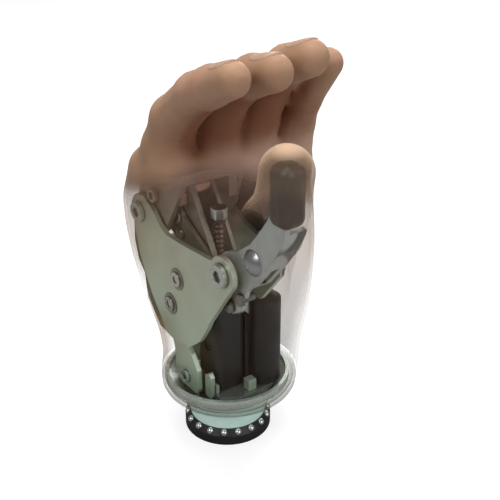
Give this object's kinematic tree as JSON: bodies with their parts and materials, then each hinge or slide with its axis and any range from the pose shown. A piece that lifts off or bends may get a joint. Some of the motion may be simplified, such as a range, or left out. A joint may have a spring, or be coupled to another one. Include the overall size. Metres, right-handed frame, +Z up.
{
  "type": "prosthetic hand",
  "caption": "Left prosthetic hand: plated powered grip mechanism in a clear-to-flesh glove, on a round quick-disconnect wrist with a ball ring.",
  "frame": {"origin": "centre of the flat coupling face under the ball ring, at the mouth of the contact bore", "axes": "+Z up the forearm axis to the fingertips, +X out of the palm, -Y to the thumb side, +Y to the little finger"},
  "size_m": [0.1026, 0.0679, 0.1655],
  "materials": {
    "black_plastic": "satin moulded, black",
    "ball_steel": "polished balls",
    "pale_green": "pale green, smooth",
    "aluminium": "turned satin",
    "plate_steel": "satin grey-green",
    "screw_steel": "bright steel screws",
    "brass": "turned",
    "copper": "copper-coloured bush",
    "circuit": "circuit board",
    "core_plastic": "dark brown moulded",
    "glove_clear": "clear flexible skin, milky beige",
    "glove_skin": "flesh-coloured flexible skin"
  },
  "bodies": {
    "wrist_coupling": {"roller_ring": "black_plastic", "ring_balls": "ball_steel", "coupling_collar": "pale_green", "retaining_ring": "screw_steel", "contact_socket": "black_plastic", "contact_sleeve": "brass"},
    "hand_frame": {"wrist_collar": "pale_green", "wrist_dish": "aluminium", "dish_screws": "screw_steel", "chassis_base": "aluminium", "base_lugs": "aluminium", "side_plate_radial": "plate_steel", "side_plate_ulnar": "plate_steel", "lower_bracket_radial": "plate_steel", "lower_bracket_ulnar": "plate_steel", "bracket_strip": "plate_steel", "bracket_screws": "screw_steel", "bracket_rivets": "screw_steel", "spacer_posts": "screw_steel", "post_screws": "screw_steel", "plate_washers": "screw_steel", "plate_screws": "screw_steel", "standoffs": "screw_steel", "dorsal_strap": "plate_steel", "motor_housing": "black_plastic", "motor_can": "aluminium", "gearhead": "aluminium", "control_capsule": "black_plastic", "control_board": "circuit", "inner_plate": "plate_steel", "finger_pivot_pin": "screw_steel", "thumb_pivot_pin": "screw_steel", "glove_palm": "glove_clear"},
    "screw_drive": {"drive_screw": "screw_steel", "screw_lock_nut": "screw_steel"},
    "nut_block": {"travel_nut": "aluminium"},
    "finger_unit": {"finger_cheek_radial": "plate_steel", "finger_cheek_ulnar": "plate_steel", "drive_fork": "plate_steel", "cross_shaft": "screw_steel", "cheek_screws": "screw_steel", "fork_bolts": "screw_steel", "copper_bush": "copper", "link_finger_pin": "screw_steel", "knuckle_beam": "black_plastic", "carrier_block": "black_plastic", "carrier_arm": "black_plastic", "index_finger_core": "core_plastic", "middle_finger_core": "core_plastic", "ring_finger_core": "core_plastic", "little_finger_core": "core_plastic", "glove_fingers": "glove_skin"},
    "thumb_unit": {"thumb_lever": "plate_steel", "thumb_lever_inner": "plate_steel", "thumb_rivet": "screw_steel", "thumb_spacer": "screw_steel", "thumb_pins": "screw_steel", "thumb_core": "core_plastic", "glove_thumb": "glove_skin"},
    "link_bar": {"drive_link": "plate_steel"}
  },
  "joints": [
    {"name": "wrist_rotation", "type": "hinge", "parent": "wrist_coupling", "child": "hand_frame", "pos_m": [0, 0, 0], "axis": [0, 0, 1], "continuous": true},
    {"name": "finger_close", "type": "hinge", "parent": "hand_frame", "child": "finger_unit", "pos_m": [-0.0302, 0, 0.0905], "axis": [0, 1, 0], "range_deg": [-25, 3]},
    {"name": "thumb_close", "type": "hinge", "parent": "hand_frame", "child": "thumb_unit", "pos_m": [0.0265, 0, 0.086], "axis": [0, 1, 0], "range_deg": [-3.4, 28.1]},
    {"name": "link_swing", "type": "hinge", "parent": "finger_unit", "child": "link_bar", "pos_m": [-0.0119, 0, 0.0931], "axis": [0, 1, 0], "range_deg": [-4.2, 34.4]},
    {"name": "screw_spin", "type": "hinge", "parent": "hand_frame", "child": "screw_drive", "pos_m": [0.004, -0.0055, 0.08], "axis": [0, 0, 1], "range_deg": [-473, 57]},
    {"name": "nut_slide", "type": "slide", "parent": "hand_frame", "child": "nut_block", "axis": [0, 0, 1], "range_m": [-0.002, 0.016]}
  ],
  "couplings": [
    {"joint": "thumb_close", "follows": "finger_close", "ratio": -1.12},
    {"joint": "link_swing", "follows": "finger_close", "ratio": -1.374},
    {"joint": "screw_spin", "follows": "finger_close", "ratio": 18.9},
    {"joint": "nut_slide", "follows": "finger_close", "m_per_rad": -0.0361}
  ]
}
